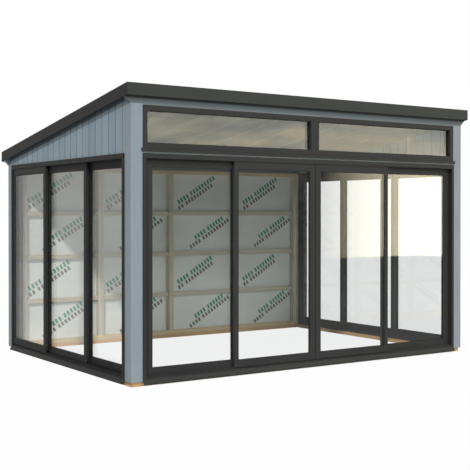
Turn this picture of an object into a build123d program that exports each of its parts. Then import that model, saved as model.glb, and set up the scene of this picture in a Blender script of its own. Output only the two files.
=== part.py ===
from build123d import *
import math
import os

os.makedirs("parts", exist_ok=True)

# Garden shed with a mono-pitch roof, glazed on three sides, in millimetres.
# It is drawn with the front wall face at y = 0 and the ground at z = 0, and moved at
# the end so that the origin is under the middle of the whole roof.

# Walls, outer trim to outer trim
wall_width = 4200.0
wall_depth = 2976.0
trim_thickness = 18.0
trim_width = 120.0
trim_lap = 3.0
fit_joint = 0.5
overcut = 1.0

# Sole plates and posts
plate_height = 45.0
plate_width = 78.0
post_size = 102.0

# Roof
roof_pitch = 8.57
overhang_front = 48.0
overhang_rear = 55.0
overhang_side = 60.0
fascia_height = 111.0
fascia_thickness = 3.0
fascia_return = 20.0
fascia_flange = 40.0
flange_thickness = 2.0
covering_thickness = 5.0
deck_thickness = 18.0
rafter_width = 45.0
rafter_height = 120.0
rafter_count = 10

# Beams under the roof edges
beam_width = 45.0
beam_height = 145.0
beam_end_cut = 60.0
beam_end_gap = 1.0

# Sliding door sets
door_top = 2104.0
frame_proud = 13.0
fin = 4.0
channel_width = 37.0
channel_depth = 20.0
head_height = 46.0
head_channel = 30.0
jamb_width = 32.0
rail_width = 6.0
apron_thickness = 4.0

# Heights of a sill over the sole plate, and how far its lower edge goes out and down
sill_thickness = 21.0
sill_lip_rise = 30.0
rail_rise = 45.0
leaf_rise = 39.0
sill_slope_rise = 15.0
sill_nose = 19.0
nose_height = 7.0
nose_drop = 28.0

# Door leaves
leaf_clearance = 5.0
leaf_entry = 15.0
bottom_rail = 68.0
top_rail = 88.0
stile_jamb_front = 102.0
stile_jamb_side = 77.0
stile_meeting = 66.0
stile_lap_front = 48.0
stile_lap_side = 62.0
lap_front = 48.0
lap_side = 62.0
lap_places_front = (0.2565, 0.7435)
lap_places_side = (0.3378, 0.6693)
meeting_gap = 6.0
glass_thickness = 16.0
glass_rebate = 12.0
glass_clearance = 0.3
guide_clearance = 5.0
guide_groove_height = 28.0
roller_radius = 8.0
roller_width = 8.0
roller_inset = 120.0
roller_axle_radius = 3.0
seat_gap = 0.3

# Fixed lights over the front doors
light_height = 388.8
light_member = 50.0
light_depth = 60.0
light_glass_recess = 34.0
light_joint = 1.0
light_top_strip = 9.0
rail_strip = 13.0
light_sill_height = 33.0
light_sill_nose = 20.0
light_sill_overlap = 12.0
light_sill_fall = 8.0

# Boarding
board_thickness = 18.0
board_pitch = 140.0
board_groove = 8.0
board_groove_depth = 5.0

# Gable and rear wall framing
stud_width = 58.0
stud_depth = 76.0
membrane_thickness = 2.0
bottom_rail_height = 45.0
noggin_height = 50.0
noggin_depth = 45.0
noggin_first = 544.0
noggin_pitch = 507.0
noggin_rows = 3
rear_bays = 4
gable_stud_width = 45.0
gable_stud_pitch = 600.0

# Derived places
half = wall_width / 2
slope = math.tan(math.radians(roof_pitch))
roof_front_y = -overhang_front
roof_rear_y = wall_depth + overhang_rear
roof_side_x = half + overhang_side
middle_y = (roof_front_y + roof_rear_y) / 2
trim_bottom = plate_height - trim_lap
pitch = channel_width + fin
deck_drop = flange_thickness + covering_thickness + deck_thickness
front_frame_depth = 2 * pitch + fin - frame_proud
side_frame_depth = 3 * pitch + fin - frame_proud
side_plate_width = side_frame_depth - trim_thickness
opening_edge = trim_width + fit_joint
sill_top = plate_height + sill_thickness
rail_top = plate_height + rail_rise
door_head_bottom = door_top - head_height
leaf_thickness = channel_width - 2 * leaf_clearance
leaf_bottom = plate_height + leaf_rise
leaf_top = door_head_bottom + leaf_entry
leaf_edge = jamb_width - leaf_entry
glass_bottom = leaf_bottom + bottom_rail
glass_top = leaf_top - top_rail
light_bottom = door_top + rail_strip + light_sill_height
front_beam_bottom = light_bottom + light_height + light_top_strip
roof_front_height = front_beam_bottom + beam_height + deck_drop + slope * overhang_front


def roof_z(y, drop=0.0):
    """Height of the roof plane at depth y, or of a layer that far below it."""
    return roof_front_height - slope * (y - roof_front_y) - drop


rear_beam_bottom = roof_z(wall_depth, deck_drop) - beam_height


def box(x0, x1, y0, y1, z0, z1):
    """A block between two corners."""
    centre = ((x0 + x1) / 2, (y0 + y1) / 2, (z0 + z1) / 2)
    return Pos(*centre) * Box(x1 - x0, y1 - y0, z1 - z0)


def along_x(points, x0, x1):
    """A profile given as (y, z) points, run from x0 to x1."""
    face = make_face(Plane.YZ.offset(x0) * Polyline(points, close=True))
    return extrude(face, amount=x1 - x0, dir=(1, 0, 0))


def along_y(points, y0, y1):
    """A profile given as (x, z) points, run from y0 to y1."""
    face = make_face(Plane.XZ.offset(-y0) * Polyline(points, close=True))
    return extrude(face, amount=y1 - y0, dir=(0, 1, 0))


def along_z(points, z0, z1):
    """A profile given as (x, y) points, run from z0 to z1."""
    face = make_face(Plane.XY.offset(z0) * Polyline(points, close=True))
    return extrude(face, amount=z1 - z0, dir=(0, 0, 1))


def group(solids):
    """Several solids that share one node."""
    return Compound([solid for shape in solids for solid in shape.solids()])


def save(name, shape):
    """Write one node, moved so that the origin is under the middle of the roof."""
    export_step(group([shape]).moved(Location((0, -middle_y, 0))), "parts/" + name + ".step")


def mirrored(shape):
    """The mirror image of a shape across the middle of the shed."""
    return group([shape]).mirror(Plane.YZ)


def both_sides(shape):
    """A shape on the right side and its mirror image on the left."""
    return [shape, mirrored(shape)]


# Base and corners

def sole_plates():
    x = half - trim_thickness
    y0 = trim_thickness
    y1 = wall_depth - trim_thickness
    front = box(-x, x, y0, y0 + plate_width, 0, plate_height)
    rear = box(-x, x, y1 - plate_width, y1, 0, plate_height)
    side = box(x - side_plate_width, x, y0 + plate_width, y1 - plate_width, 0, plate_height)
    return group([front, rear] + both_sides(side))


def corner_posts():
    x = half - trim_thickness
    y0 = trim_thickness
    y1 = wall_depth - trim_thickness
    front = box(x - post_size, x, y0, y0 + post_size, plate_height, front_beam_bottom)
    rear = box(x - post_size, x, y1 - post_size, y1, plate_height, rear_beam_bottom)
    return group(both_sides(front) + both_sides(rear))


def corner_trim(rear):
    """An L of two boards round the right-hand corner."""
    a, t = trim_width, trim_thickness
    points = [(half, 0), (half, a), (half - t, a), (half - t, t), (half - a, t), (half - a, 0)]
    if rear:
        points = [(x, wall_depth - y) for x, y in points]
        return along_z(points, trim_bottom, rear_beam_bottom)
    return along_z(points, trim_bottom, front_beam_bottom)


def corner_trims():
    return group(both_sides(corner_trim(False)) + both_sides(corner_trim(True)))


# Roof

def roof_beam(y0, y1):
    """A beam with its top on the roof slope and its lower ends cut on the slant."""
    bottom = roof_z(y1 if y0 > 0 else y0, deck_drop) - beam_height
    top = [(y0, roof_z(y0, deck_drop)), (y1, roof_z(y1, deck_drop))]
    x = roof_side_x - fascia_thickness - beam_end_gap
    beam = along_x([(y0, bottom), (y1, bottom)] + top[::-1], -x, x)
    low = bottom - overcut
    points = [(x - beam_end_cut, low), (x + overcut, low), (x + overcut, low + beam_end_cut)]
    cut = along_y(points, y0 - overcut, y1 + overcut)
    for wedge in both_sides(cut):
        beam = beam - wedge
    return beam


def roof_layer(drop, thickness, inset):
    """A flat layer of the roof, that far below the roof plane."""
    y0, y1 = roof_front_y + inset, roof_rear_y - inset
    points = [(y0, roof_z(y0, drop + thickness)), (y1, roof_z(y1, drop + thickness)),
              (y1, roof_z(y1, drop)), (y0, roof_z(y0, drop))]
    return along_x(points, -roof_side_x + inset, roof_side_x - inset)


def rafters():
    y0, y1 = beam_width, wall_depth - beam_width
    drop = deck_drop
    points = [(y0, roof_z(y0, drop + rafter_height)), (y1, roof_z(y1, drop + rafter_height)),
              (y1, roof_z(y1, drop)), (y0, roof_z(y0, drop))]
    first = half - trim_thickness - stud_depth - fit_joint
    step = (2 * first - rafter_width) / (rafter_count - 1)
    places = [-first + i * step for i in range(rafter_count)]
    return group([along_x(points, x, x + rafter_width) for x in places])


def end_fascia(outer, inward):
    """Front or rear fascia: flange on the slope, upright face and level bottom return."""
    inner = outer + inward * fascia_thickness
    edge = outer + inward * fascia_flange
    lip = outer + inward * fascia_return
    low = roof_z(outer) - fascia_height
    points = [(outer, roof_z(outer)), (outer, low), (lip, low), (lip, low + fascia_thickness),
              (inner, low + fascia_thickness), (inner, roof_z(inner, flange_thickness)),
              (edge, roof_z(edge, flange_thickness)), (edge, roof_z(edge))]
    x = roof_side_x - fascia_thickness
    return along_x(points, -x, x)


def side_fascia():
    """Right-hand fascia: a face and a flange that both follow the slope."""
    def strip(x0, x1, height, y0, y1):
        points = [(y0, roof_z(y0, height)), (y1, roof_z(y1, height)), (y1, roof_z(y1)),
                  (y0, roof_z(y0))]
        return along_x(points, x0, x1)

    x = roof_side_x
    inset = fascia_flange + fit_joint
    face = strip(x - fascia_thickness, x, fascia_height, roof_front_y, roof_rear_y)
    flange = strip(x - fascia_flange, x, flange_thickness, roof_front_y + inset,
                   roof_rear_y - inset)
    return face + flange


# Boarding

def groove_places(length):
    count = int(length // board_pitch)
    first = (length - count * board_pitch) / 2
    return [first + i * board_pitch for i in range(count + 1)]


def v_groove(centre, face, inward):
    """Outline of a groove cut into a boarded face."""
    g = board_groove / 2
    return [(centre - g, face - inward), (centre + g, face - inward),
            (centre + g, face), (centre, face + inward * board_groove_depth), (centre - g, face)]


def gable_cladding():
    """Boards over the right-hand doors, cut to the roof slope."""
    a = trim_width
    y0, y1 = beam_width, wall_depth - beam_width
    foot = door_top
    outline = [(a, foot), (wall_depth - a, foot), (wall_depth - a, rear_beam_bottom),
               (y1, rear_beam_bottom), (y1, roof_z(y1, deck_drop)), (y0, roof_z(y0, deck_drop)),
               (y0, front_beam_bottom), (a, front_beam_bottom)]
    panel = along_x(outline, half - board_thickness, half)
    for place in groove_places(wall_depth - 2 * a):
        y = a + place
        points = [(px, py) for py, px in v_groove(y, half, -1)]
        panel = panel - along_z(points, foot - overcut,
                                roof_z(y - board_groove, deck_drop) + overcut)
    return panel


def rear_cladding():
    x = half - trim_width
    y0, y1 = wall_depth - board_thickness, wall_depth
    panel = box(-x, x, y0, y1, trim_bottom, rear_beam_bottom)
    for place in groove_places(2 * x):
        points = v_groove(-x + place, y1, -1)
        panel = panel - along_z(points, trim_bottom - overcut, rear_beam_bottom + overcut)
    return panel


# Framing

def gable_frame():
    """Rail over the doors, sloping rail under the roof and short studs between."""
    x0, x1 = half - trim_thickness - stud_depth, half - trim_thickness
    foot = door_top
    w = gable_stud_width
    y0, y1 = trim_thickness + post_size, wall_depth - trim_thickness - post_size
    bottom = box(x0, x1, y0, y1, foot, foot + w)

    def under_roof(a, b, drop, z0):
        return along_x([(a, z0(a)), (b, z0(b)), (b, roof_z(b, drop)), (a, roof_z(a, drop))], x0, x1)

    low = deck_drop + w
    top_end = y0 + (roof_z(y0, low) - foot - w) / slope
    top_end = min(top_end, y1)
    pieces = [bottom, under_roof(y0, top_end, deck_drop, lambda y: roof_z(y, low))]
    count = int((top_end - y0) // gable_stud_pitch)
    for i in range(count + 1):
        a = y0 + i * gable_stud_pitch
        if roof_z(a + w, low) > foot + 2 * w:
            pieces.append(under_roof(a, a + w, low, lambda y: foot + w))
    return pieces


def rear_studs():
    """Upright studs of the rear wall between its bottom and top rails."""
    y0 = wall_depth - trim_thickness - membrane_thickness - stud_depth
    y1 = y0 + stud_depth
    x = half - trim_thickness - post_size
    z0, z1 = plate_height + bottom_rail_height, rear_beam_bottom - bottom_rail_height
    bay = (2 * x - stud_width) / rear_bays
    rails = [box(-x, x, y0, y1, plate_height, z0), box(-x, x, y0, y1, z1, rear_beam_bottom)]
    studs = [box(-x + i * bay, -x + i * bay + stud_width, y0, y1, z0, z1)
             for i in range(rear_bays + 1)]
    return rails, studs, bay


def rear_noggins():
    y1 = wall_depth - trim_thickness - membrane_thickness
    x = half - trim_thickness - post_size
    bay = (2 * x - stud_width) / rear_bays
    solids = []
    for row in range(noggin_rows):
        z = noggin_first + row * noggin_pitch - noggin_height / 2
        for i in range(rear_bays):
            a = -x + i * bay + stud_width
            solids.append(box(a, a + bay - stud_width, y1 - noggin_depth, y1, z, z + noggin_height))
    return group(solids)


def rear_membrane():
    y1 = wall_depth - trim_thickness
    x = half - trim_thickness - post_size
    return box(-x, x, y1 - membrane_thickness, y1, plate_height, rear_beam_bottom)


# Sliding door sets, drawn along x from 0 with the outer face of the frame at y = 0

def comb(tracks, depth, lip, root, base):
    """Outline of a frame profile with a channel for each track, as (depth, height)."""
    points = [(0, base), (0, lip)]
    for i in range(tracks):
        a = fin + i * pitch
        points += [(a, lip), (a, root), (a + channel_width, root), (a + channel_width, lip)]
    return points + [(depth, lip), (depth, base)]


def door_head(length, tracks):
    depth = tracks * pitch + fin
    return along_x(comb(tracks, depth, door_head_bottom, door_head_bottom + head_channel,
                        door_top), 0, length)


def door_jamb(tracks):
    depth = tracks * pitch + fin
    points = comb(tracks, depth, jamb_width, jamb_width - channel_depth, 0)
    return along_z([(b, a) for a, b in points], sill_top, door_head_bottom)


def door_frame(length, tracks):
    """Head and two jambs of one door set."""
    notch = box(0, jamb_width + overcut, 0, fin, sill_top, plate_height + sill_lip_rise)
    left = door_jamb(tracks) - notch
    right = mirrored(left).moved(Location((length, 0, 0)))
    return group([door_head(length, tracks), left, right])


def door_sill(length, tracks):
    """Sill with a raised rail for each track and a sloping apron over the sole plate."""
    depth = tracks * pitch + fin
    lip = plate_height + sill_lip_rise
    low = plate_height - nose_drop
    points = [(-sill_nose, low), (-sill_nose + apron_thickness, low), (0, plate_height),
              (depth, plate_height), (depth, sill_top)]
    for i in reversed(range(tracks)):
        c = fin + i * pitch + channel_width / 2
        r = rail_width / 2
        points += [(c + r, sill_top), (c + r, rail_top), (c - r, rail_top), (c - r, sill_top)]
    points += [(fin, sill_top), (fin, lip), (0, lip), (0, plate_height + sill_slope_rise),
               (-sill_nose, low + nose_height)]
    sill = along_x(points, 0, length)
    clear = jamb_width - channel_depth
    for a in (0, length - clear):
        sill = sill - box(a, a + clear, fin + fit_joint, depth + overcut, sill_top,
                          rail_top + overcut)
    return sill


def leaf_y(track):
    """Depth of the outer face of a leaf on that track."""
    return fin + track * pitch + leaf_clearance


def leaf(u0, u1, track, stile_a, stile_b):
    """A glazed leaf: frame with its rebate and guide groove, rollers, and glass unit."""
    y0 = leaf_y(track)
    y1 = y0 + leaf_thickness
    a, b = u0 + stile_a, u1 - stile_b
    frame = box(u0, u1, y0, y1, leaf_bottom, leaf_top)
    frame = frame - box(a, b, y0 - overcut, y1 + overcut, glass_bottom, glass_top)
    g0 = (y0 + y1 - glass_thickness) / 2
    g1 = g0 + glass_thickness
    r = glass_rebate
    c = glass_clearance
    frame = frame - box(a - r, b + r, g0 - c, g1 + c, glass_bottom - r, glass_top + r)
    mid = (y0 + y1) / 2
    w = rail_width / 2 + guide_clearance
    groove_top = leaf_bottom + guide_groove_height
    frame = frame - box(u0 - overcut, u1 + overcut, mid - w, mid + w, leaf_bottom - overcut,
                        groove_top)
    glass = box(a - r + c, b + r - c, g0, g1, glass_bottom - r + c, glass_top + r - c)
    rollers = []
    for u in (u0 + roller_inset, u1 - roller_inset):
        centre = Pos(u, mid, rail_top + seat_gap + roller_radius) * Rot(90, 0, 0)
        wheel = centre * Cylinder(roller_radius, roller_width)
        axle = centre * Cylinder(roller_axle_radius, 2 * (w - seat_gap))
        rollers.append(wheel + axle)
    return group([frame] + rollers), glass


def front_leaves():
    """The four front leaves from the left: fixed, sliding, sliding, fixed."""
    length = wall_width - 2 * opening_edge
    first, second = [length * place for place in lap_places_front]
    h, gap = lap_front / 2, meeting_gap / 2
    spans = [(leaf_edge, first + h), (first - h, length / 2 - gap),
             (length / 2 + gap, second + h), (second - h, length - leaf_edge)]
    j, m, lap = stile_jamb_front, stile_meeting, stile_lap_front
    specs = [(1, j, lap), (0, lap, m), (0, m, lap), (1, lap, j)]
    return [leaf(*span, *spec) for span, spec in zip(spans, specs)]


def side_leaves():
    """Three leaves of a side, from the left as seen from outside: fixed, sliding, sliding."""
    length = wall_depth - 2 * opening_edge
    first, second = [length * place for place in lap_places_side]
    h = lap_side / 2
    spans = [(leaf_edge, first + h), (first - h, second + h), (second - h, length - leaf_edge)]
    j, lap = stile_jamb_side, stile_lap_side
    specs = [(0, j, lap), (1, lap, lap), (2, lap, j)]
    return [leaf(*span, *spec) for span, spec in zip(spans, specs)]


def to_front(shape):
    return group([shape]).moved(Location((-half + opening_edge, -frame_proud, 0)))


def to_right(shape):
    return group([shape]).moved(Location((half + frame_proud, opening_edge, 0), (0, 0, 90)))


def to_left(shape):
    rear = wall_depth - opening_edge
    return group([shape]).moved(Location((-half - frame_proud, rear, 0), (0, 0, -90)))


# Fixed lights over the front doors

def light_frames():
    x0, x1 = light_joint / 2, half - opening_edge
    z0, z1 = light_bottom, front_beam_bottom - light_top_strip
    m = light_member
    frame = box(x0, x1, 0, light_depth, z0, z1)
    frame = frame - box(x0 + m, x1 - m, -overcut, light_depth + overcut, z0 + m, z1 - m)
    g0 = light_glass_recess
    g1 = g0 + glass_thickness
    r, c = glass_rebate, glass_clearance
    frame = frame - box(x0 + m - r, x1 - m + r, g0 - c, g1 + c, z0 + m - r, z1 - m + r)
    glass = box(x0 + m - r + c, x1 - m + r - c, g0, g1, z0 + m - r + c, z1 - m + r - c)
    return group(both_sides(frame)), group(both_sides(glass))


def light_sill():
    """Dark sill under the lights, its nose lapping the corner trims."""
    x = half - opening_edge
    rail = door_top + rail_strip
    points = [(light_depth, rail), (light_depth, light_bottom), (0, light_bottom), (0, rail)]
    body = along_x(points, -x, x)
    nose = [(0, rail), (0, light_bottom), (-light_sill_nose, light_bottom - light_sill_fall),
            (-light_sill_nose, rail)]
    reach = x + light_sill_overlap
    return body + along_x(nose, -reach, reach)


def light_rails():
    """Painted strips under and over the lights."""
    x = half - opening_edge
    low = box(-x, x, 0, front_frame_depth, door_top, door_top + rail_strip)
    high = box(-x, x, fit_joint, front_frame_depth, front_beam_bottom - light_top_strip,
               front_beam_bottom)
    return group([low, high])


save("sole_plates", sole_plates())
save("corner_posts", corner_posts())
save("corner_trims", corner_trims())
save("front_beam", roof_beam(0.0, beam_width))
save("rear_beam", roof_beam(wall_depth - beam_width, wall_depth))
save("rafters", rafters())
save("roof_deck", roof_layer(flange_thickness + covering_thickness, deck_thickness,
                             fascia_thickness))
save("roof_covering", roof_layer(flange_thickness, covering_thickness, fascia_thickness))
save("front_fascia", end_fascia(roof_front_y, 1))
save("rear_fascia", end_fascia(roof_rear_y, -1))
save("side_fascias", group(both_sides(side_fascia())))

cladding = gable_cladding()
save("gable_cladding_right", cladding)
save("gable_cladding_left", mirrored(cladding))
frame_pieces = gable_frame()
save("gable_frame_right", group(frame_pieces))
save("gable_frame_left", mirrored(group(frame_pieces)))
save("rear_cladding", rear_cladding())
save("rear_membrane", rear_membrane())
rail_solids, stud_solids, bay_width = rear_studs()
save("rear_wall_rails", group(rail_solids))
save("rear_wall_studs", group(stud_solids))
save("rear_wall_noggins", rear_noggins())

lights, light_glass = light_frames()
save("front_light_frames", lights)
save("front_light_glass", light_glass)
save("front_light_sill", light_sill())
save("front_light_rails", light_rails())

front_length = wall_width - 2 * opening_edge
side_length = wall_depth - 2 * opening_edge
save("front_door_frame", to_front(door_frame(front_length, 2)))
save("front_door_sill", to_front(door_sill(front_length, 2)))
panels = front_leaves()
save("front_fixed_leaves", group([to_front(panels[0][0]), to_front(panels[3][0])]))
save("front_fixed_glass", group([to_front(panels[0][1]), to_front(panels[3][1])]))
save("front_left_leaf", to_front(panels[1][0]))
save("front_left_glass", to_front(panels[1][1]))
save("front_right_leaf", to_front(panels[2][0]))
save("front_right_glass", to_front(panels[2][1]))

side_frame = door_frame(side_length, 3)
side_sill = door_sill(side_length, 3)
side_panels = side_leaves()
for side, place, last in (("left", to_left, "front"), ("right", to_right, "rear")):
    save(side + "_door_frame", place(side_frame))
    save(side + "_door_sill", place(side_sill))
    for name, panel in zip(("fixed", "middle", last), side_panels):
        save(side + "_side_" + name + "_leaf", place(panel[0]))
        save(side + "_side_" + name + "_glass", place(panel[1]))
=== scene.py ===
import math

import bpy
from mathutils import Euler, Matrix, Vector, noise


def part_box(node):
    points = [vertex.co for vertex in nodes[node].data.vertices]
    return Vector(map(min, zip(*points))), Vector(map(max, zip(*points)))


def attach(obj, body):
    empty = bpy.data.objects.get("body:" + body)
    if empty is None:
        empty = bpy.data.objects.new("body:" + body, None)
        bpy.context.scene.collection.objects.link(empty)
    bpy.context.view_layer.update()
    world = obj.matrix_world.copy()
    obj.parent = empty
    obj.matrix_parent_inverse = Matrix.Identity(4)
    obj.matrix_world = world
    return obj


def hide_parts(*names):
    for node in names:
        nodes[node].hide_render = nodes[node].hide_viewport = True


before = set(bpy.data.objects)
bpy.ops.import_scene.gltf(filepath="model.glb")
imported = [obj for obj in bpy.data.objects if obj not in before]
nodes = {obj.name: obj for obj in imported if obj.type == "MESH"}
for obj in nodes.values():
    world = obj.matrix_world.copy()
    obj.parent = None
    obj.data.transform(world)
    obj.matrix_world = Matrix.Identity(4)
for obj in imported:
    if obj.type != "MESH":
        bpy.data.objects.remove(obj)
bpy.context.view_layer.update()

# Lengths are in metres

X, Y, Z = 0, 1, 2
AXIS_NAMES = "xyz"
WHITE = (1, 1, 1, 1)
PLACE_DIGITS = 4

# Colours, as a monitor shows them, 0 to 255

GREY_PAINT = (141, 150, 156)
BOARD_PAINT = (145, 158, 168)
# Darker than the grey paint: painted shade on the front beam under the fascia
BEAM_PAINT_SHADED = (100, 108, 110)
# Paler than the grey paint: painted light on the lower strip over the door heads
STRIP_PAINT_LIT = (192, 198, 196)
PLATE_PINE = (206, 166, 118)
RAIL_PINE = (210, 188, 153)
FRAME_PINE = (200, 193, 172)
# Much darker than the frame pine: painted shade on the rafters and deck under the roof
ROOF_PINE_SHADED = (116, 108, 92)
KNOT_BROWN = (150, 104, 66)
DARK_FRAME = (49, 49, 49)
# Darker than the front frames: painted shade on the side frames
DARK_FRAME_SHADED_SIDES = (45, 45, 45)
FASCIA = (57, 59, 57)
# Darker than the front fascia: painted shade on the side fascias
SIDE_FASCIA_SHADED = (44, 46, 46)
ROOFING = (58, 58, 59)
MEMBRANE = (228, 230, 224)
PRINT_GREEN = (46, 128, 99)
PRINT_BROWN = (98, 93, 88)
GASKET = (18, 18, 19)

MONITOR_TOP = 255
MONITOR_BEND = 0.04045


def linear(rgb):
    """A monitor colour as a linear one, with full opacity."""
    def one(level):
        v = level / MONITOR_TOP
        return v / 12.92 if v <= MONITOR_BEND else ((v + 0.055) / 1.055) ** 2.4
    return tuple(one(level) for level in rgb) + (1.0,)


def shaded(rgb, factor):
    """A monitor colour made lighter or darker."""
    return tuple(min(MONITOR_TOP, level * factor) for level in rgb)


def grey(level):
    """A neutral linear colour."""
    return (level, level, level, 1)


def grey_stops(stops):
    """Ramp stops from pairs of place and grey level."""
    return [(at, grey(level)) for at, level in stops]


def by_axis(axis, along, across):
    """Texture scale for a pattern that runs along an axis."""
    return tuple(along if i == axis else across for i in range(3))


# Sockets of a colour mix: the two colours in, and the mixed one out
MIX_A, MIX_B = 6, 7
MIX_RESULT = 2


class Nodes:
    """A node tree with short calls for the nodes that it uses."""

    def __init__(self, tree, place):
        self.tree = tree
        self.place = self.add("ShaderNodeTexCoord").outputs[place]

    def feed(self, socket, value):
        """Link a node's output to a socket, or set the socket to a plain value."""
        if isinstance(value, bpy.types.NodeSocket):
            self.tree.links.new(value, socket)
        else:
            socket.default_value = value

    def add(self, kind, settings=None, **inputs):
        """A new node. An input is given by its name, or as i0, i1 and so on by its number."""
        node = self.tree.nodes.new(kind)
        for key, value in (settings or {}).items():
            setattr(node, key, value)
        for key, value in inputs.items():
            by_number = key[0] == "i" and key[1:].isdigit()
            socket = node.inputs[int(key[1:]) if by_number else key.replace("_", " ")]
            self.feed(socket, value)
        return node

    def axes(self):
        """The place along X, Y and Z."""
        return self.add("ShaderNodeSeparateXYZ", None, Vector=self.place).outputs

    def scaled(self, scale):
        """The place, stretched by a scale for each axis."""
        return self.add("ShaderNodeMapping", None, Vector=self.place, Scale=scale).outputs[0]

    def noise(self, scale, detail=4.0, rough=0.55):
        """Soft random values. One number for scale stands for all three axes."""
        scales = scale if isinstance(scale, tuple) else (scale,) * 3
        return self.add("ShaderNodeTexNoise", None, Vector=self.scaled(scales), Scale=1.0,
                        Detail=detail, Roughness=rough).outputs["Fac"]

    def ramp(self, fac, stops):
        """A colour that follows a value through stops of place and linear colour."""
        node = self.add("ShaderNodeValToRGB", None, Fac=fac)
        ramp = node.color_ramp
        while len(ramp.elements) < len(stops):
            ramp.elements.new(0.5)
        for element, (place, colour) in zip(ramp.elements, stops):
            element.position = place
            element.color = colour
        return node.outputs["Color"]

    def tones(self, fac, rgb, stops):
        """A monitor colour made lighter or darker through stops of place and factor."""
        return self.ramp(fac, [(at, linear(shaded(rgb, factor))) for at, factor in stops])

    def math(self, operation, *values):
        """The result of a sum on plain or linked values."""
        node = self.add("ShaderNodeMath", {"operation": operation})
        for socket, value in zip(node.inputs, values):
            self.feed(socket, value)
        return node.outputs[0]

    def share(self, value, start, end):
        """Zero up to the start, one from the end on."""
        return self.add("ShaderNodeMapRange", None, Value=value, From_Min=start,
                        From_Max=end).outputs[0]

    def mix(self, fac, a, b, blend="MIX"):
        """A share of colour b over colour a."""
        node = self.add("ShaderNodeMix", {"data_type": "RGBA", "blend_type": blend})
        self.feed(node.inputs["Factor"], fac)
        self.feed(node.inputs[MIX_A], a)
        self.feed(node.inputs[MIX_B], b)
        return node.outputs[MIX_RESULT]

    def multiplied(self, colour, fac, stops):
        """A colour times a ramp."""
        return self.mix(1.0, colour, self.ramp(fac, stops), "MULTIPLY")

    def shaders(self, fac, a, b):
        """A mix of two shaders."""
        return self.add("ShaderNodeMixShader", None, i0=fac, i1=a, i2=b).outputs[0]

    def shown(self, path):
        """One for rays from the camera, straight or on through a pane."""
        return self.math("MAXIMUM", path["Is Camera Ray"], path["Is Transmission Ray"])


class Shader(Nodes):
    """A material that starts from one plain surface."""

    def __init__(self, name, roughness=0.5, specular=0.5, metallic=0.0):
        self.mat = bpy.data.materials.new(name)
        self.mat.use_nodes = True
        super().__init__(self.mat.node_tree, "Object")
        self.bsdf = self.tree.nodes["Principled BSDF"]
        self.set("Roughness", roughness)
        self.set("Specular IOR Level", specular)
        self.set("Metallic", metallic)

    def set(self, name, value):
        """Give an input of the surface a value or a link."""
        self.feed(self.bsdf.inputs[name], value)

    def roughness(self, value, low, high):
        """Let the roughness follow a value between two levels."""
        spread = self.add("ShaderNodeMapRange", None, Value=value, To_Min=low, To_Max=high)
        self.set("Roughness", spread.outputs[0])

    def bump(self, height, strength, distance):
        """Fine relief that follows a value."""
        node = self.add("ShaderNodeBump", None, Height=height, Strength=strength,
                        Distance=distance)
        self.set("Normal", node.outputs[0])

    def glow(self, colour):
        """A surface that shows a colour whatever the light."""
        return self.add("ShaderNodeEmission", None, Color=colour, Strength=1.0).outputs[0]

    def surface(self, shader):
        """Show a mixed shader instead of the plain surface."""
        self.feed(self.tree.nodes["Material Output"].inputs["Surface"], shader)


# Painted wood, with painted shade in the grooves between boards and close under an edge above it

GRAIN_ALONG = 2.2
GRAIN_ACROSS = 55.0
GRAIN_DETAIL = 6.0
GRAIN_ROUGH = 0.6
GRAIN_TONES = ((0.3, 0.955), (0.7, 1.03))
GRAIN_RELIEF = (0.25, 0.0006)
BLOTCH_SCALE = 1.6
BLOTCH_DETAIL = 3.0
BLOTCH_TONES = [(0.35, (0.955, 0.96, 0.965, 1)), (0.65, WHITE)]
BOARD_TONES = [(0.0, (0.88, 0.89, 0.9, 1)), (1.0, (1.03, 1.03, 1.03, 1))]
PAINT_ROUGHNESS = (0.52, 0.66)
# Pairs of distance and grey level of painted shade: from the middle of a groove, and below an edge
GROOVE_SHADE = ((0.0, 0.44), (0.004, 0.54), (0.007, 0.92), (0.012, 1.0))
EAVES_SHADE = ((0.0, 0.3), (0.014, 0.36), (0.026, 1.0))
# Painted shade on the upper strip, as dark as the beam under the fascia
STRIP_SHADE = ((0.0, 0.33), (0.1, 0.33), (0.12, 1.0))


def by_board(s, colour, axis, first, pitch):
    """A tone of its own for each board, with painted shade in the grooves between the boards."""
    count = s.math("DIVIDE", s.math("SUBTRACT", s.axes()[axis], first), pitch)
    random = s.add("ShaderNodeTexWhiteNoise", {"noise_dimensions": "1D"},
                   W=s.math("FLOOR", count)).outputs["Value"]
    colour = s.multiplied(colour, random, BOARD_TONES)
    apart = s.math("ABSOLUTE", s.math("SUBTRACT", count, s.math("ROUND", count)))
    shade = [(at / pitch, level) for at, level in GROOVE_SHADE]
    return s.multiplied(colour, apart, grey_stops(shade))


def below_line(s, colour, line, shade):
    """Shade by the distance below a line, given as its height at y = 0 and its rise."""
    height, rise = line
    place = s.axes()
    edge = s.math("MULTIPLY_ADD", place[Y], rise, height)
    return s.multiplied(colour, s.math("SUBTRACT", edge, place[Z]), grey_stops(shade))


def painted_wood(name, axis, boards=None, base=GREY_PAINT, line=None, shade=EAVES_SHADE):
    """Paint over grain; boards gives the axis, first groove and pitch of a boarded face."""
    s = Shader(name, roughness=0.6, specular=0.35)
    grain = s.noise(by_axis(axis, GRAIN_ALONG, GRAIN_ACROSS), GRAIN_DETAIL, GRAIN_ROUGH)
    blotch = s.noise(BLOTCH_SCALE, BLOTCH_DETAIL)
    colour = s.multiplied(s.tones(grain, base, GRAIN_TONES), blotch, BLOTCH_TONES)
    if boards is not None:
        colour = by_board(s, colour, *boards)
    if line is not None:
        colour = below_line(s, colour, line, shade)
    s.set("Base Color", colour)
    s.roughness(blotch, *PAINT_ROUGHNESS)
    s.bump(grain, *GRAIN_RELIEF)
    return s.mat


# Planed pine, with rings, fibres and a few knots

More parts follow.
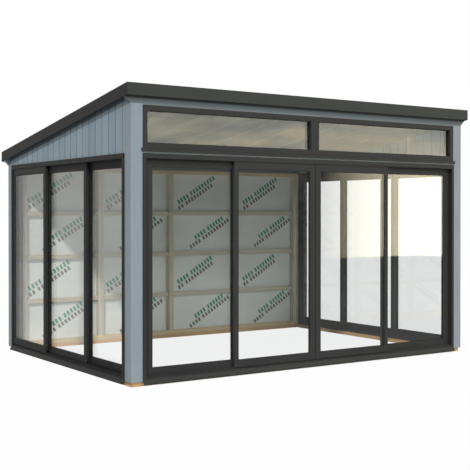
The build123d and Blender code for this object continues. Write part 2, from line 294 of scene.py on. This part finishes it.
RING_ALONG = 0.55
RING_ACROSS = 16.0
RING_BEND = 7.0
RING_DETAIL = 3.0
RING_DETAIL_SCALE = 1.4
RING_TONES = ((0.05, 0.8), (0.5, 0.97), (1.0, 1.04))
PLAIN_SHARE = 0.7
WARMTH_SCALE = 3.0
WARMTH_DETAIL = 2.0
WARMTH_TONES = [(0.3, (0.9, 0.89, 0.87, 1)), (0.7, (1.04, 1.03, 1.02, 1))]
FIBRE_ALONG = 4.0
FIBRE_ACROSS = 190.0
FIBRE_DETAIL = 5.0
FIBRE_TONES = [(0.3, (0.93, 0.91, 0.88, 1)), (0.6, WHITE)]
FIBRE_RELIEF = (0.2, 0.0005)
KNOT_ALONG = 1.1
KNOT_ACROSS = 5.5
KNOT_TONES = [(0.025, linear(KNOT_BROWN)), (0.06, WHITE)]
PINE_ROUGHNESS = (0.55, 0.72)


def pine_rings(s, axis):
    """Bands that run along the axis and wander a little."""
    return s.add("ShaderNodeTexWave", {"wave_type": "BANDS", "bands_direction": "DIAGONAL"},
                 Vector=s.scaled(by_axis(axis, RING_ALONG, RING_ACROSS)), Scale=1.0,
                 Distortion=RING_BEND, Detail=RING_DETAIL,
                 Detail_Scale=RING_DETAIL_SCALE).outputs["Fac"]


def pine_wood(name, axis, rgb):
    """Planed pine whose grain runs along an axis."""
    s = Shader(name, roughness=0.62, specular=0.3)
    warmth = s.noise(WARMTH_SCALE, WARMTH_DETAIL)
    fibre = s.noise(by_axis(axis, FIBRE_ALONG, FIBRE_ACROSS), FIBRE_DETAIL)
    cell = s.add("ShaderNodeTexVoronoi", None, Scale=1.0,
                 Vector=s.scaled(by_axis(axis, KNOT_ALONG, KNOT_ACROSS))).outputs["Distance"]
    ringed = s.tones(pine_rings(s, axis), rgb, RING_TONES)
    colour = s.mix(PLAIN_SHARE, ringed, linear(rgb))
    colour = s.multiplied(colour, warmth, WARMTH_TONES)
    colour = s.multiplied(colour, fibre, FIBRE_TONES)
    s.set("Base Color", s.multiplied(colour, cell, KNOT_TONES))
    s.roughness(fibre, *PINE_ROUGHNESS)
    s.bump(fibre, *FIBRE_RELIEF)
    return s.mat


# Powder-coated and sheet metal

POWDER_SCALE = 1400.0
POWDER_DETAIL = 2.0
POWDER_RELIEF = (0.12, 0.0002)
COAT_SCALE = 2.4
COAT_DETAIL = 3.0
COAT_TONES = ((0.3, 0.96), (0.7, 1.05))
COAT_ROUGHNESS = (0.45, 0.57)


def coated_metal(name, rgb, specular):
    """Metal under a satin coat with a fine grain."""
    s = Shader(name, specular=specular)
    cloud = s.noise(COAT_SCALE, COAT_DETAIL)
    s.set("Base Color", s.tones(cloud, rgb, COAT_TONES))
    s.roughness(cloud, *COAT_ROUGHNESS)
    s.bump(s.noise(POWDER_SCALE, POWDER_DETAIL), *POWDER_RELIEF)
    return s.mat


# Roof covering

CHIP_SCALE = 420.0
CHIP_TONES = ((0.2, 0.72), (0.8, 1.25))
CHIP_RELIEF = (0.5, 0.0008)
FELT_SCALE = 1.3
FELT_TONES = [(0.3, grey(0.85)), (0.7, (1.08, 1.08, 1.07, 1))]


def roofing_felt(name):
    """Dark covering with stone chips."""
    s = Shader(name, roughness=0.85, specular=0.3)
    chips = s.add("ShaderNodeTexVoronoi", None, Vector=s.place, Scale=CHIP_SCALE).outputs["Color"]
    flecks = s.tones(chips, ROOFING, CHIP_TONES)
    s.set("Base Color", s.multiplied(flecks, s.noise(FELT_SCALE), FELT_TONES))
    s.bump(chips, *CHIP_RELIEF)
    return s.mat


# Glass: how much of it mirrors, from straight on to grazing

GLASS_TINT = (0.995, 1.0, 0.998, 1)
GLASS_SHINE = ((0.0, 0.07), (0.15, 0.076), (0.28, 0.092), (0.5, 0.12), (0.75, 0.24),
               (0.88, 0.5), (1.0, 1.0))


def window_glass(name):
    """Clear double glazing, which mirrors a share of what is before it."""
    s = Shader(name, roughness=0.02, specular=0.5, metallic=1.0)
    s.set("Base Color", WHITE)
    clear = s.add("ShaderNodeBsdfTransparent", None, Color=GLASS_TINT).outputs[0]
    facing = s.add("ShaderNodeLayerWeight", None, Blend=0.5).outputs["Facing"]
    pane = s.shaders(s.ramp(facing, grey_stops(GLASS_SHINE)), clear, s.bsdf.outputs[0])
    lamps = s.add("ShaderNodeLightPath").outputs["Is Shadow Ray"]
    s.surface(s.shaders(lamps, pane, clear))
    return s.mat


# Wind barrier, its print, and the seals

THREAD_SCALE = 160.0
THREAD_BEND = 0.6
THREAD_TONES = [(0.0, grey(0.95)), (1.0, WHITE)]
THREAD_RELIEF = (0.25, 0.0004)
CLOTH_SCALE = (1.2, 1.2, 1.7)
CLOTH_TONES = ((0.3, 0.93), (0.7, 1.03))
CLOTH_ROUGHNESS = (0.62, 0.78)
INK_SCALE = 240.0
INK_DETAIL = 3.0
INK_TONES = ((0.3, 1.0), (0.75, 1.25))
RUBBER_SCALE = 500.0
RUBBER_TONES = ((0.3, 1.0), (0.8, 1.5))


def threads(s, direction):
    """Threads of a weave that repeat along one direction."""
    return s.add("ShaderNodeTexWave", {"bands_direction": direction}, Vector=s.place,
                 Scale=THREAD_SCALE, Distortion=THREAD_BEND).outputs["Fac"]


def woven_sheet(name):
    """Pale woven cloth."""
    s = Shader(name, roughness=0.7, specular=0.3)
    cloth = s.math("MULTIPLY", threads(s, "X"), threads(s, "Z"))
    cloud = s.noise(CLOTH_SCALE)
    s.set("Base Color", s.multiplied(s.tones(cloud, MEMBRANE, CLOTH_TONES), cloth, THREAD_TONES))
    s.roughness(cloud, *CLOTH_ROUGHNESS)
    s.bump(cloth, *THREAD_RELIEF)
    return s.mat


def printed_ink(name, rgb):
    """Ink that is a little worn."""
    s = Shader(name, roughness=0.75, specular=0.2)
    s.set("Base Color", s.tones(s.noise(INK_SCALE, INK_DETAIL), rgb, INK_TONES))
    return s.mat


def rubber(name):
    """Black seal."""
    s = Shader(name, roughness=0.65, specular=0.3)
    s.set("Base Color", s.tones(s.noise(RUBBER_SCALE), GASKET, RUBBER_TONES))
    return s.mat


# Places read from the nodes

GROOVE_DEPTHS = (0.004, 0.006)
NEAR_END = 0.002


def points_of(name):
    """The vertices of a node in the shared frame."""
    node = nodes[name]
    return [node.matrix_world @ v.co for v in node.data.vertices]


def spans(name, axis):
    """Where the blocks of a node start and end along an axis, in order."""
    places = sorted({round(p[axis], PLACE_DIGITS) for p in points_of(name)})
    return list(zip(places[::2], places[1::2]))


def long_side(name):
    """The longer level axis of a node and the one across it."""
    low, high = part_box(name)
    return (X, Y) if high[X] - low[X] > high[Y] - low[Y] else (Y, X)


def grooves(name):
    """Axis across the boards of a node, its first groove and the pitch."""
    low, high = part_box(name)
    across, through = long_side(name)
    outer = max(high[through], -low[through])
    places = sorted({round(p[across], PLACE_DIGITS) for p in points_of(name)
                     if GROOVE_DEPTHS[0] < outer - abs(p[through]) < GROOVE_DEPTHS[1]})
    return across, places[0], places[1] - places[0]


def lower_edge(name):
    """The lower edge of a fascia seen from the side: its height at y = 0 and its rise along y."""
    points = points_of(name)
    front = min(p[Y] for p in points)
    rear = max(p[Y] for p in points)
    low_front = min(p[Z] for p in points if p[Y] < front + NEAR_END)
    low_rear = min(p[Z] for p in points if p[Y] > rear - NEAR_END)
    rise = (low_rear - low_front) / (rear - front)
    return low_front - rise * front, rise


# Lower edges of the fascias, below which the paint takes painted shade, and the top of the strips
front_edge = (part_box("front_fascia")[0][Z], 0.0)
rear_edge = (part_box("rear_fascia")[0][Z], 0.0)
side_edge = lower_edge("side_fascias")
strip_edge = (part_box("front_light_rails")[1][Z], 0.0)


# Finishes of the nodes

def boarding(name, line):
    """Paint for a boarded face, with painted shade in its grooves and just below an edge of the
    roof.
    """
    return painted_wood("paint_" + name, Z, boards=grooves(name), base=BOARD_PAINT, line=line)


def frame_wood(axis):
    """Pine of the frames, with its grain along an axis."""
    return pine_wood("pine_frame_" + AXIS_NAMES[axis], axis, FRAME_PINE)


post_paint = painted_wood("grey_paint_z", Z)
rear_beam_paint = painted_wood("grey_paint_x", X)
# Front beam: grey paint darkened as painted shade, with more painted shade just below the fascia
beam_paint = painted_wood("grey_paint_beam_shaded", X, base=BEAM_PAINT_SHADED, line=front_edge)
# Strips under and over the fixed lights: pale paint as painted light on the lower one, painted
# shade on the upper one
strip_paint_lit_and_shaded = painted_wood("grey_paint_strips_lit_and_shaded", X, base=STRIP_PAINT_LIT, line=strip_edge,
                           shade=STRIP_SHADE)
frame_pine = {axis: frame_wood(axis) for axis in (X, Y, Z)}
dark = coated_metal("dark_frame", DARK_FRAME, 0.17)
# A darker copy of the frame metal: painted shade on the side frames
shaded_side_frame_metal = coated_metal("dark_frame_sides_shaded", DARK_FRAME_SHADED_SIDES, 0.12)
sheet_metal = coated_metal("fascia_sheet", FASCIA, 0.15)
glass = window_glass("clear_glass")
weave = woven_sheet("wind_barrier")
seal = rubber("glazing_seal")

NODE_FINISH = {
    "corner_trims": post_paint,
    "front_beam": beam_paint,
    "rear_beam": rear_beam_paint,
    "front_light_rails": strip_paint_lit_and_shaded,
    "gable_cladding_left": boarding("gable_cladding_left", side_edge),
    "gable_cladding_right": boarding("gable_cladding_right", side_edge),
    "rear_cladding": boarding("rear_cladding", rear_edge),
    "sole_plates": pine_wood("pine_plates", X, PLATE_PINE),
    "rear_wall_rails": pine_wood("pine_rails", X, RAIL_PINE),
    # Rafters and deck: pine darkened as painted shade under the roof
    "rafters": pine_wood("pine_roof_shaded_y", Y, ROOF_PINE_SHADED),
    "roof_deck": pine_wood("pine_roof_shaded_x", X, ROOF_PINE_SHADED),
    "corner_posts": frame_pine[Z],
    "gable_frame_left": frame_pine[Y],
    "gable_frame_right": frame_pine[Y],
    "rear_wall_studs": frame_pine[Z],
    "rear_wall_noggins": frame_pine[X],
    "rear_membrane": weave,
    "front_fascia": sheet_metal,
    "rear_fascia": sheet_metal,
    # Side fascias: a darker copy of the fascia sheet, as painted shade
    "side_fascias": coated_metal("fascia_sheet_sides_shaded", SIDE_FASCIA_SHADED, 0.1),
    "roof_covering": roofing_felt("roofing"),
}


def finish_of(name):
    """The finish of a node: its own, or glass or metal by its name, with a darker copy of the
    metal as painted shade on the side frames.
    """
    if name in NODE_FINISH:
        return NODE_FINISH[name]
    if "glass" in name:
        return glass
    return shaded_side_frame_metal if name.startswith(("left_", "right_")) else dark


for name, node in nodes.items():
    node.data.materials.clear()
    node.data.materials.append(finish_of(name))


# New meshes

def mesh_piece(name, verts, faces, finish, body, smooth=False):
    """A new mesh that rides on a body and takes its finish from one slot."""
    mesh = bpy.data.meshes.new(name)
    mesh.from_pydata([tuple(v) for v in verts], [], faces)
    mesh.materials.append(finish)
    mesh.validate()
    mesh.update()
    for polygon in mesh.polygons:
        polygon.use_smooth = smooth
    piece = bpy.data.objects.new(name, mesh)
    bpy.context.scene.collection.objects.link(piece)
    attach(piece, body)
    return piece


def blocks_mesh(blocks):
    """Vertices and faces of upright blocks, each given by two corners."""
    verts, faces = [], []
    for low, high in blocks:
        n = len(verts)
        outline = ((low[X], low[Y]), (high[X], low[Y]), (high[X], high[Y]), (low[X], high[Y]))
        verts += [(x, y, z) for z in (low[Z], high[Z]) for x, y in outline]
        faces += [(n, n + 3, n + 2, n + 1), (n + 4, n + 5, n + 6, n + 7)]
        faces += [(n + i, n + (i + 1) % 4, n + 4 + (i + 1) % 4, n + 4 + i) for i in range(4)]
    return verts, faces


# Wind barrier on the rear wall, bulging a little between the timbers

SHEET_STEPS = (220, 110)
BULGE = 0.007
BULGE_EDGE = 0.12
BULGE_MEAN = 0.5
BULGE_MOST = 1.3
# Scale along x, offset, scale along z, and weight of each wave
BULGE_WAVES = ((2.3, 0.3, 2.9, 1.0), (6.1, 4.1, 4.4, 0.6))

sheet_low, sheet_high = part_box("rear_membrane")
stud_spans = spans("rear_wall_studs", X)
row_spans = sorted(spans("rear_wall_rails", Z) + spans("rear_wall_noggins", Z))


def off_timber(value, timbers):
    """Zero on a timber, rising to one away from it."""
    gap = min(max(low - value, value - high, 0.0) for low, high in timbers)
    t = min(gap / BULGE_EDGE, 1.0)
    return t * t * (3 - 2 * t)


def bulge(x, z):
    """How far the sheet stands off its flat place towards the room."""
    wave = sum(weight * noise.noise(Vector((x * scale_x, offset, z * scale_z)))
               for scale_x, offset, scale_z, weight in BULGE_WAVES)
    free = off_timber(x, stud_spans) * off_timber(z, row_spans)
    return BULGE * free * min(max(BULGE_MEAN + wave, 0.0), BULGE_MOST)


def sheet_points():
    """A grid of points on the inner face, then the same on the outer face."""
    nx, nz = SHEET_STEPS
    wide = sheet_high[X] - sheet_low[X]
    tall = sheet_high[Z] - sheet_low[Z]
    places = [(sheet_low[X] + wide * i / nx, sheet_low[Z] + tall * k / nz)
              for k in range(nz + 1) for i in range(nx + 1)]
    return [(x, face_y - bulge(x, z), z)
            for face_y in (sheet_low[Y], sheet_high[Y]) for x, z in places]


def sheet_faces():
    """Faces of both sides of the sheet and of its four thin edges."""
    nx, nz = SHEET_STEPS
    row = nx + 1
    layer = row * (nz + 1)
    faces = []
    for k in range(nz):
        for i in range(nx):
            a = k * row + i
            b = a + layer
            faces.append((a, a + 1, a + row + 1, a + row))
            faces.append((b, b + row, b + row + 1, b + 1))
    for i in range(nx):
        a, b = i, nz * row + i
        faces.append((a, a + layer, a + layer + 1, a + 1))
        faces.append((b, b + 1, b + layer + 1, b + layer))
    for k in range(nz):
        a, b = k * row, k * row + nx
        faces.append((a, a + row, a + row + layer, a + layer))
        faces.append((b, b + layer, b + row + layer, b + row))
    return faces


barrier = mesh_piece("wind_barrier", sheet_points(), sheet_faces(), weave, "shell",
                     smooth=True)
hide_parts("rear_membrane")


# Plain slanting bars printed on the barrier, in two rows that repeat over it

MARK_SLOPE = math.radians(31)
MARK_REPEAT = (1.003, 0.506)
MARK_FIRST = (-1.322, 0.411)
MARK_SHIFT = (-0.255, -0.056)
MARK_LIFT = 0.0008
SPARE_REPEATS = 3
ROW_NAMES = ("barrier_print_green", "barrier_print_brown")
ROW_INKS = (("print_green", PRINT_GREEN), ("print_brown", PRINT_BROWN))
ROW_OFFSETS = ((0.0, 0.0), (-0.125, -0.067))
BAR_GROUPS = (4, 10)
BAR_WIDTH = 0.029
BAR_STEP = 0.0485
BAR_HEIGHT = (0.058, 0.05)
BAR_PARTS = 3
GROUP_GAP = 0.026


def bar_places():
    """Place of each bar of a row, along the row from its own middle."""
    bars, at = [], 0.0
    for count in BAR_GROUPS:
        bars += [at + i * BAR_STEP for i in range(count)]
        at += count * BAR_STEP + GROUP_GAP
    middle = (bars[0] + bars[-1]) / 2
    return [place - middle for place in bars]


def mark_places():
    """Middle of each repeat of the print, past every edge of the sheet; odd courses shifted."""
    columns = int((sheet_high[X] - sheet_low[X]) / MARK_REPEAT[0]) + SPARE_REPEATS
    courses = int((sheet_high[Z] - sheet_low[Z]) / MARK_REPEAT[1]) + SPARE_REPEATS
    return [(MARK_FIRST[0] + i * MARK_REPEAT[0] + (k % 2) * MARK_SHIFT[0],
             MARK_FIRST[1] + k * MARK_REPEAT[1] + (k % 2) * MARK_SHIFT[1])
            for k in range(-1, courses) for i in range(-1, columns)]


def bar_strip(row, middle, at):
    """Points of one bar, in pairs from its foot to its top."""
    cos, sin = math.cos(MARK_SLOPE), math.sin(MARK_SLOPE)
    points = []
    for part in range(BAR_PARTS + 1):
        up = ROW_OFFSETS[row][1] + (part / BAR_PARTS - 0.5) * BAR_HEIGHT[row]
        for side in (-0.5, 0.5):
            along = ROW_OFFSETS[row][0] + at + side * BAR_WIDTH
            points.append((middle[0] + cos * along - sin * up,
                           middle[1] + sin * along + cos * up))
    return points


def printable(x, z):
    """True on the sheet where no stud, rail or noggin hides it."""
    on_sheet = sheet_low[X] < x < sheet_high[X] and sheet_low[Z] < z < sheet_high[Z]
    hidden = any(a <= x <= b for a, b in stud_spans) or any(a <= z <= b for a, b in row_spans)
    return on_sheet and not hidden


def printed_row(row):
    """All the bars of one colour, each a narrow strip that lies on the sheet."""
    verts, faces = [], []
    strips = [bar_strip(row, middle, at) for middle in mark_places() for at in bar_places()]
    for strip in strips:
        if all(printable(x, z) for x, z in strip):
            n = len(verts)
            verts += [(x, sheet_low[Y] - bulge(x, z) - MARK_LIFT, z) for x, z in strip]
            faces += [(n + c, n + c + 1, n + c + 3, n + c + 2) for c in range(0, 2 * BAR_PARTS, 2)]
    return verts, faces


for row, (name, ink) in enumerate(zip(ROW_NAMES, ROW_INKS)):
    verts, faces = printed_row(row)
    mesh_piece(name, verts, faces, printed_ink(*ink), "shell")


# Black seals round each pane, inside and outside

# How far a frame laps over the edge of its pane
PANE_COVER = 0.0117
SEAL_WIDTH = 0.004
SEAL_PROUD = 0.002
PANE_BODIES = {
    "front_left_glass": "front_left_leaf",
    "front_right_glass": "front_right_leaf",
    "left_side_middle_glass": "left_middle_leaf",
    "left_side_front_glass": "left_front_leaf",
    "right_side_middle_glass": "right_middle_leaf",
    "right_side_rear_glass": "right_rear_leaf",
}


def seal_strips(start, end, bottom, top):
    """Four strips just inside the sight lines of a pane, as start, end, bottom and top."""
    a, b = start + PANE_COVER, end - PANE_COVER
    low, high = bottom + PANE_COVER, top - PANE_COVER
    w = SEAL_WIDTH
    return [(a, b, low, low + w), (a, b, high - w, high), (a, a + w, low + w, high - w),
            (b - w, b, low + w, high - w)]


def seal_blocks(name):
    """Blocks of the seals of one glass node."""
    low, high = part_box(name)
    across, through = long_side(name)
    blocks = []
    for start, end in spans(name, across):
        for face, step in ((low[through], -SEAL_PROUD), (high[through], SEAL_PROUD)):
            near, far = sorted((face, face + step))
            for a, b, bottom, top in seal_strips(start, end, low[Z], high[Z]):
                if across == X:
                    blocks.append(((a, near, bottom), (b, far, top)))
                else:
                    blocks.append(((near, a, bottom), (far, b, top)))
    return blocks


for name in sorted(nodes):
    if name.endswith("_glass"):
        verts, faces = blocks_mesh(seal_blocks(name))
        mesh_piece(name.replace("_glass", "_seals"), verts, faces, seal,
                   PANE_BODIES.get(name, "shell"))


# Camera

CAMERA_PLACE = (-6.2068, -9.2556, 1.5608)
CAMERA_YAW = math.radians(33.955)
CAMERA_PITCH = math.radians(0.4438)
CAMERA_REACH = 200
FOCAL_PIXELS = 978.82
FRAME_PIXELS = 470
OPTICAL_ROW = 220.855
SENSOR = 36.0


def make_camera():
    """The camera at a standing eye height, left of the front."""
    camera = bpy.data.cameras.new("camera")
    camera.sensor_width = SENSOR
    camera.lens = FOCAL_PIXELS / FRAME_PIXELS * SENSOR
    camera.shift_y = (OPTICAL_ROW - FRAME_PIXELS / 2) / FRAME_PIXELS
    camera.clip_end = CAMERA_REACH
    holder = bpy.data.objects.new("camera", camera)
    holder.location = CAMERA_PLACE
    holder.rotation_euler = Euler((math.pi / 2 - CAMERA_PITCH, 0, -CAMERA_YAW))
    bpy.context.scene.collection.objects.link(holder)
    bpy.context.scene.camera = holder


# Lamps: name, power, turn and spread in degrees, and colour

LAMPS = (
    ("sun", 2.0, (53, 0, -42), 3, (1.0, 0.98, 0.95)),
    ("bright_sky", 0.85, (67, 0, 8), 20, (0.95, 0.98, 1.0)),
)


def make_lamp(name, power, turn, spread, colour):
    """A lamp that is far away."""
    lamp = bpy.data.lights.new(name, "SUN")
    lamp.energy = power
    lamp.color = colour
    lamp.angle = math.radians(spread)
    holder = bpy.data.objects.new(name, lamp)
    holder.rotation_euler = Euler(tuple(math.radians(angle) for angle in turn))
    bpy.context.scene.collection.objects.link(holder)


# Sky: bands by height, cloud streaks, a glow low on the right and haze on the left

SKY_LIGHT = 0.34
SKY_COLOUR = (0.84, 0.95, 1.0, 1)
SKY_BANDS = [(0.0, (0.14, 0.15, 0.14, 1)), (0.045, (0.18, 0.19, 0.18, 1)),
             (0.066, (1.68, 1.66, 1.4, 1)), (0.2, (1.65, 1.6, 1.4, 1)), (1.0, WHITE)]
CLOUD_SCALE = (2.4, 2.4, 21.0)
CLOUD_ROUGH = 0.6
CLOUD_LIFT = 0.05
STREAK_SCALE = (10.5, 10.5, 66.0)
STREAK_DETAIL = 3.0
STREAK_TONES = [(0.36, (0.68, 0.72, 0.78, 1)), (0.5, (1.0, 1.0, 0.97, 1)),
                (0.64, (1.34, 1.2, 1.05, 1))]
GLOW = (3.8, 3.4, 2.4, 1)
GLOW_SIDE = (0.63, 0.7)
GLOW_HEIGHT = (0.064, 0.05)
HAZE = grey(0.65)
HAZE_SIDE = (-0.1, -0.42)


def mirrored_sky(w):
    """The sky that panes and metal mirror."""
    place = w.axes()
    cloud = w.noise(CLOUD_SCALE, rough=CLOUD_ROUGH)
    level = w.math("SUBTRACT", place[Z], CLOUD_LIFT / 2)
    height = w.math("MULTIPLY_ADD", cloud, CLOUD_LIFT, level)
    streaks = w.noise(STREAK_SCALE, STREAK_DETAIL)
    sky = w.multiplied(w.ramp(height, SKY_BANDS), streaks, STREAK_TONES)
    low_right = w.math("MULTIPLY", w.share(place[X], *GLOW_SIDE),
                       w.share(place[Z], *GLOW_HEIGHT))
    sky = w.mix(low_right, sky, GLOW)
    return w.mix(w.share(place[X], *HAZE_SIDE), sky, HAZE)


def background(w, colour, strength=1.0):
    """Light of one colour, or of a linked one, from all round."""
    return w.add("ShaderNodeBackground", None, Color=colour, Strength=strength).outputs[0]


def make_world():
    """White behind the object, the cloudy sky in mirrors, and an even light."""
    world = bpy.data.worlds.new("sky")
    bpy.context.scene.world = world
    world.use_nodes = True
    world.node_tree.nodes.clear()
    w = Nodes(world.node_tree, "Generated")
    path = w.add("ShaderNodeLightPath").outputs
    light = background(w, SKY_COLOUR, SKY_LIGHT)
    mirrored = background(w, mirrored_sky(w))
    unseen = w.shaders(path["Is Glossy Ray"], light, mirrored)
    whole = w.shaders(w.shown(path), unseen, background(w, WHITE))
    w.add("ShaderNodeOutputWorld", None, Surface=whole)


# Ground: white for the camera, darker in mirrors, with the haze on the left

FLOOR_COLOUR = (0.8, 0.82, 0.81, 1)
FLOOR_HALF = 20.0
FLOOR_WHITE = 0.97
FLOOR_NEAR = (0.22, 0.23, 0.22, 1)
FLOOR_FAR = (0.15, 0.16, 0.15, 1)
FLOOR_DEPTH = (-7.0, -20.0)
FLOOR_SIDE = (-2.15, -2.7)


def ground_finish():
    """The look of the ground."""
    s = Shader("floor", roughness=0.9, specular=0.0)
    s.set("Base Color", FLOOR_COLOUR)
    lit = s.bsdf.outputs[0]
    place = s.axes()
    level = s.mix(s.share(place[Y], *FLOOR_DEPTH), FLOOR_NEAR, FLOOR_FAR)
    level = s.mix(s.share(place[X], *FLOOR_SIDE), level, HAZE)
    path = s.add("ShaderNodeLightPath").outputs
    unseen = s.shaders(path["Is Glossy Ray"], lit, s.glow(level))
    seen = s.shaders(FLOOR_WHITE, lit, s.glow(WHITE))
    s.surface(s.shaders(s.shown(path), unseen, seen))
    return s.mat


def make_floor():
    """A level square round the object."""
    h = FLOOR_HALF
    mesh = bpy.data.meshes.new("floor")
    mesh.from_pydata([(-h, -h, 0), (h, -h, 0), (h, h, 0), (-h, h, 0)], [], [(0, 1, 2, 3)])
    mesh.materials.append(ground_finish())
    ground = bpy.data.objects.new("floor", mesh)
    bpy.context.scene.collection.objects.link(ground)


make_camera()
for settings in LAMPS:
    make_lamp(*settings)
make_world()
make_floor()

bpy.context.scene.view_settings.view_transform = "Standard"
